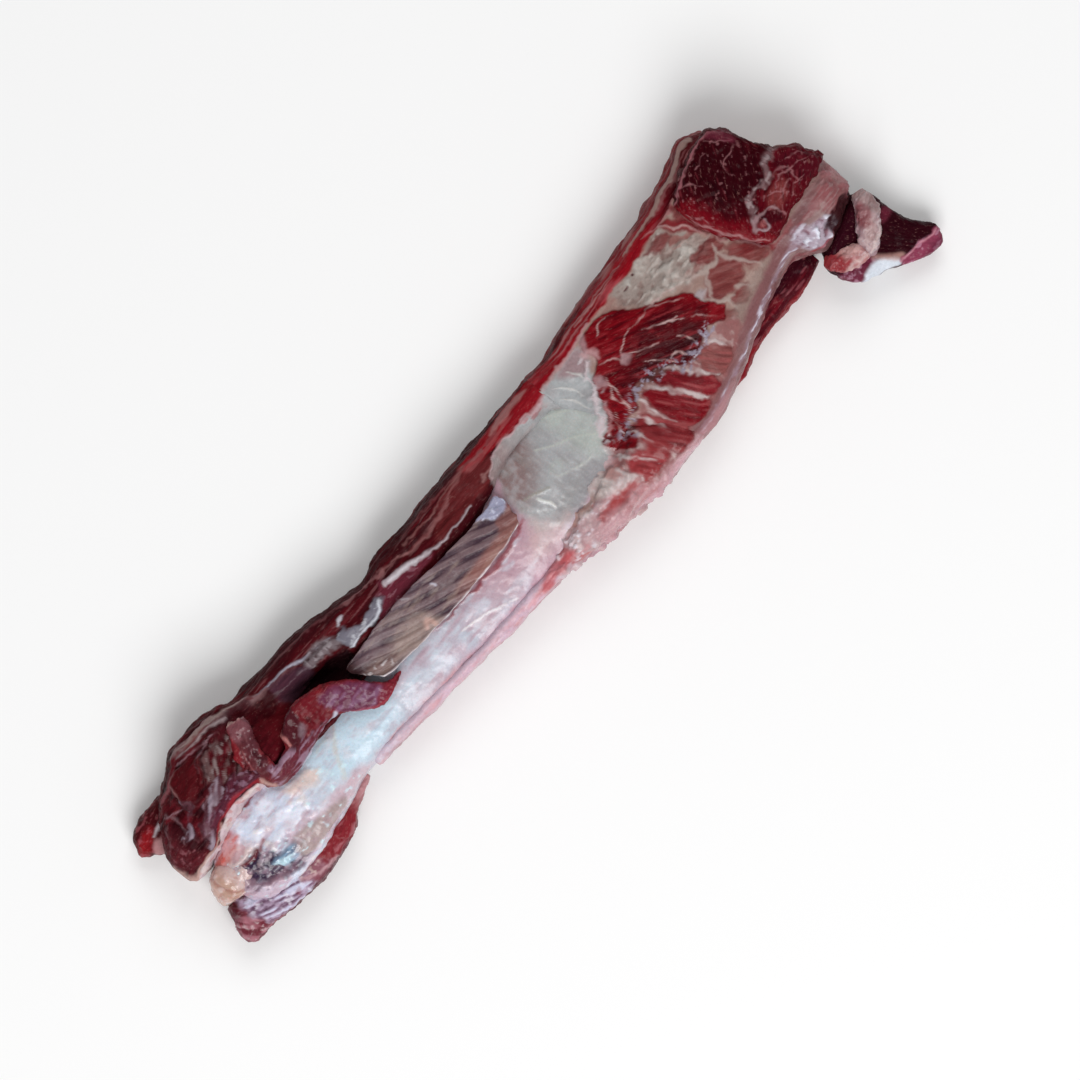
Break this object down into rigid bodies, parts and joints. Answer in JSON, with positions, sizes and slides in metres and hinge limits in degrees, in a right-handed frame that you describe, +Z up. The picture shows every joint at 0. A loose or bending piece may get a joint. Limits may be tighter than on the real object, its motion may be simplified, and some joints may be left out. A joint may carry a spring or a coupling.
{
  "type": "raw beef rib bone",
  "caption": "Raw beef rib with its bone, muscle, fat and silverskin still on, with a loose flap, a curled strip and a ragged tail of meat.",
  "frame": {"origin": "on the surface that the rib lies on, under the middle of its bounding box", "axes": "+X along the rib from the knobbly joint end to the meaty end, +Y across it to the side of the long muscle, +Z up"},
  "size_m": [0.3482, 0.0982, 0.0338],
  "materials": {
    "membrane_bone": "wet bluish-white bone skin with pink stains",
    "red_meat": "moist raw red meat with fat seams",
    "pink_fat": "moist pinkish-white fat",
    "dark_muscle": "moist dark maroon cut muscle with fine marbling",
    "silverskin": "shiny brown-grey silverskin with dark stripes",
    "cartilage": "glossy tan gristle"
  },
  "bodies": {
    "root": {"rib_bone": "membrane_bone", "rib_meat": "red_meat", "edge_fat": "pink_fat", "top_muscle": "dark_muscle", "under_strip": "dark_muscle", "membrane_flap": "silverskin", "curled_strip": "red_meat", "tail_muscle": "dark_muscle", "upright_roll": "pink_fat", "lower_roll": "pink_fat", "end_meat": "red_meat", "end_cartilage": "cartilage", "side_meat": "red_meat"}
  },
  "joints": []
}
